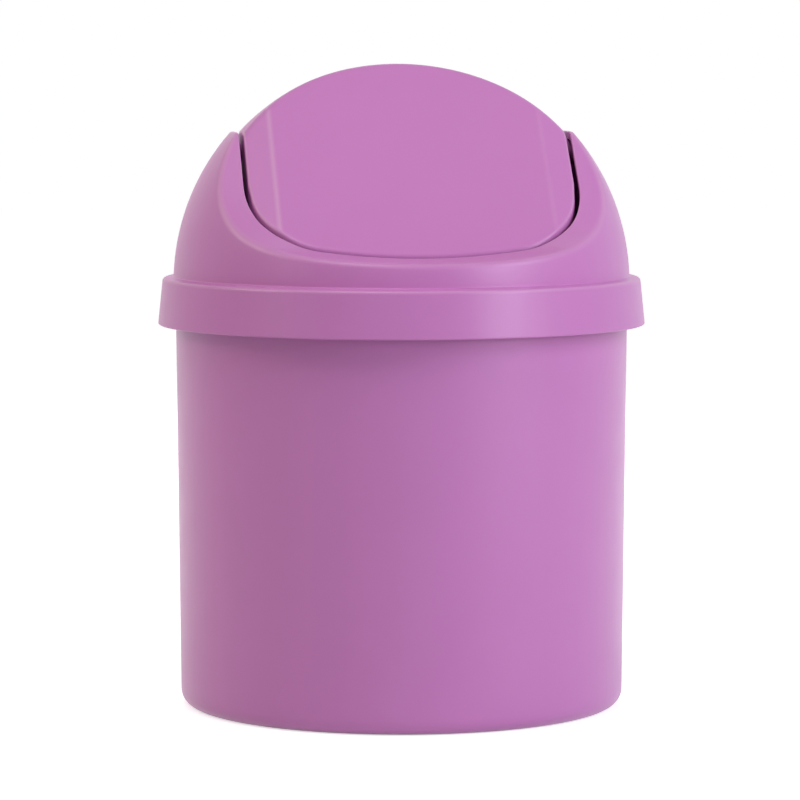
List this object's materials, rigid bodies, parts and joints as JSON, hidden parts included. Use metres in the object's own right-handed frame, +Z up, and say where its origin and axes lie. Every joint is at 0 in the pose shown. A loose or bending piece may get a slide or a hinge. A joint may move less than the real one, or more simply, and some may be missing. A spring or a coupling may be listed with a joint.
{
  "type": "countertop trash can with swing lid",
  "caption": "Small round waste can with a domed lift-off hood and a slanted push flap that swings on side pins.",
  "frame": {"origin": "on the surface that the can stands on, under the middle of the bucket", "axes": "+Z up, the push face looks towards -Y, the flap's pins lie along X"},
  "size_m": [0.1248, 0.1246, 0.1644],
  "materials": {
    "bucket_plastic": "satin moulded",
    "hood_plastic": "satin moulded",
    "flap_plastic": "satin moulded"
  },
  "bodies": {
    "bucket": {"bucket": "bucket_plastic"},
    "hood": {"hood": "hood_plastic"},
    "flap": {"swing_flap": "flap_plastic"}
  },
  "joints": [
    {"name": "hood_lift", "type": "slide", "parent": "bucket", "child": "hood", "axis": [0, 0, 1], "range_m": [0, 0.06]},
    {"name": "flap_swing", "type": "hinge", "parent": "hood", "child": "flap", "pos_m": [0, 0, 0.1419], "axis": [1, 0, 0], "range_deg": [-70, 70]}
  ]
}
